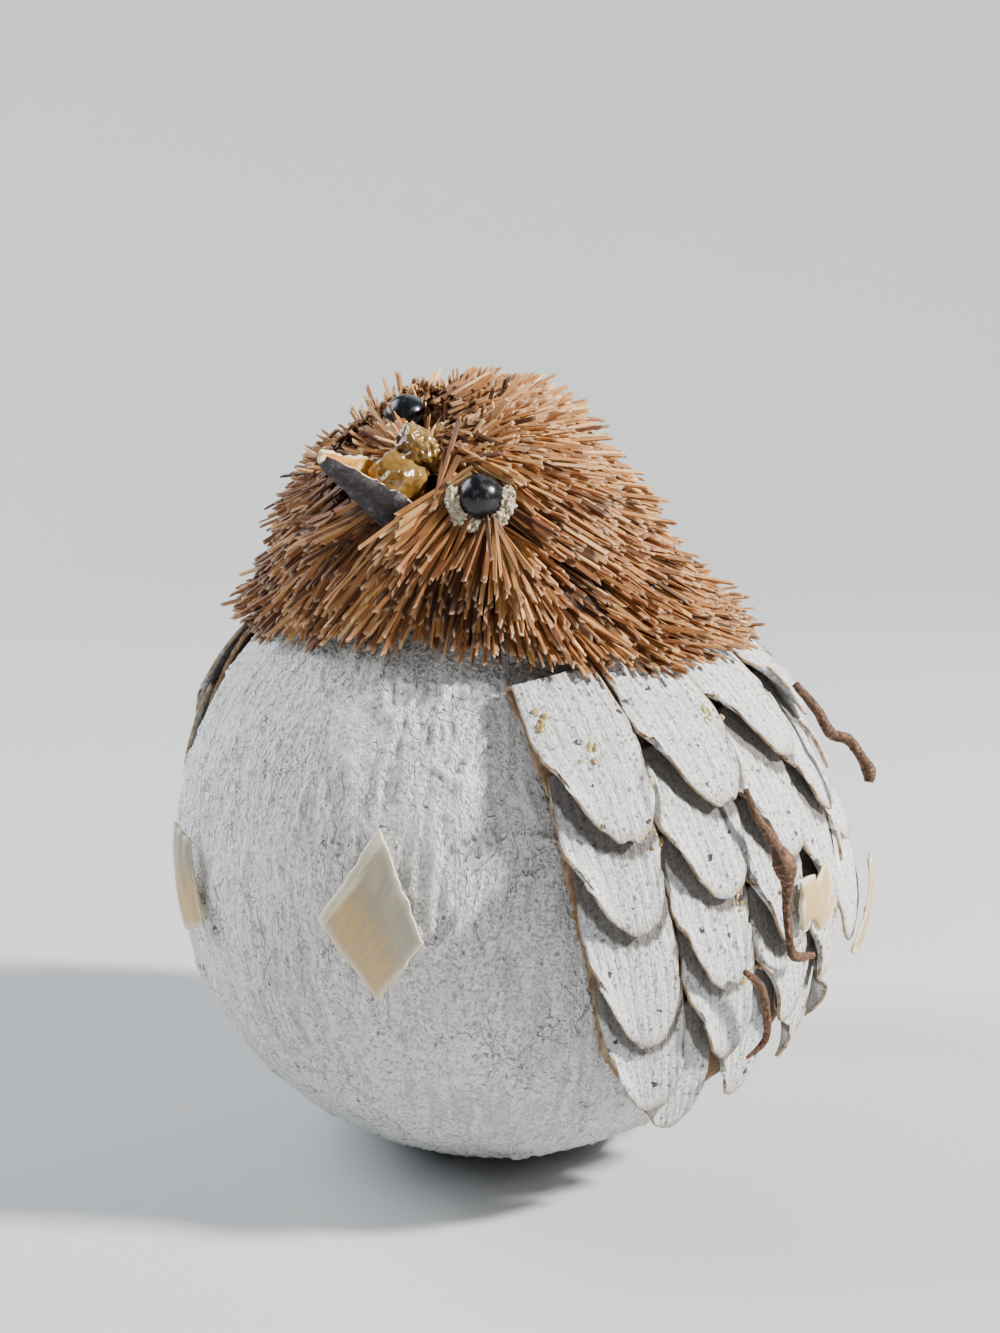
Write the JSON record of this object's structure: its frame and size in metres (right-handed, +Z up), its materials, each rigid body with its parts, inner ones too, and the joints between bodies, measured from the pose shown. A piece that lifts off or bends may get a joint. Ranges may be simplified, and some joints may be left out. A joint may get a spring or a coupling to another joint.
{
  "type": "bird figurine",
  "caption": "Round little bird ornament: white paper ball body with a blunt tail, cut straw head, open dark beak, bead eyes and wings of chalky bark scales.",
  "frame": {"origin": "centre of the flat spot under the ball that the bird stands on", "axes": "+Z up, square to the flat spot; the bird looks along -Y, its left wing is on +X and its tail points along +Y"},
  "size_m": [0.0995, 0.1168, 0.1069],
  "materials": {
    "white_paper": "matt white paint brushed over crinkled paper",
    "cut_straw": "dry flat straw strips, pale on top and red-brown below",
    "chalky_bark": "chalk grey wash with dark specks over ribbed bark",
    "brown_backing": "raw torn fibre",
    "dark_bark": "dry mottled bark, cream torn edge",
    "black_bead": "glossy, dusty in places",
    "amber_glue": "clear amber hot glue",
    "dry_petal": "thin satin dried petal",
    "twig_wood": "dry wrinkled stem"
  },
  "bodies": {
    "root": {"body": "white_paper", "straw_head": "cut_straw", "beak_shell": "dark_bark", "beak_glue": "amber_glue", "eye_left": "black_bead", "eye_right": "black_bead", "wing_backing_left": "brown_backing", "wing_backing_right": "brown_backing", "petal_breast": "dry_petal", "petal_side": "dry_petal", "petal_flank": "dry_petal", "petal_tail": "dry_petal", "twig_back": "twig_wood", "twig_wing": "twig_wood", "twig_low": "twig_wood", "scale_left_a1": "chalky_bark", "scale_left_a2": "chalky_bark", "scale_left_a3": "chalky_bark", "scale_left_a4": "chalky_bark", "scale_left_b1": "chalky_bark", "scale_left_b2": "chalky_bark", "scale_left_b3": "chalky_bark", "scale_left_b4": "chalky_bark", "scale_left_c1": "chalky_bark", "scale_left_c2": "chalky_bark", "scale_left_c3": "chalky_bark", "scale_left_c4": "chalky_bark", "scale_left_d1": "chalky_bark", "scale_left_d2": "chalky_bark", "scale_left_d3": "chalky_bark", "scale_left_d4": "chalky_bark", "scale_left_e1": "chalky_bark", "scale_left_e2": "chalky_bark", "scale_left_e3": "chalky_bark", "scale_left_e4": "chalky_bark", "scale_right_a1": "chalky_bark", "scale_right_a2": "chalky_bark", "scale_right_a3": "chalky_bark", "scale_right_a4": "chalky_bark", "scale_right_b1": "chalky_bark", "scale_right_b2": "chalky_bark", "scale_right_b3": "chalky_bark", "scale_right_b4": "chalky_bark", "scale_right_c1": "chalky_bark", "scale_right_c2": "chalky_bark", "scale_right_c3": "chalky_bark", "scale_right_c4": "chalky_bark", "scale_right_d1": "chalky_bark", "scale_right_d2": "chalky_bark", "scale_right_d3": "chalky_bark", "scale_right_d4": "chalky_bark", "scale_right_e1": "chalky_bark", "scale_right_e2": "chalky_bark", "scale_right_e3": "chalky_bark", "scale_right_e4": "chalky_bark", "scales_back_a": "chalky_bark", "scales_back_b": "chalky_bark", "scales_back_c": "chalky_bark", "scales_back_d": "chalky_bark", "scales_back_e": "chalky_bark"}
  },
  "joints": []
}
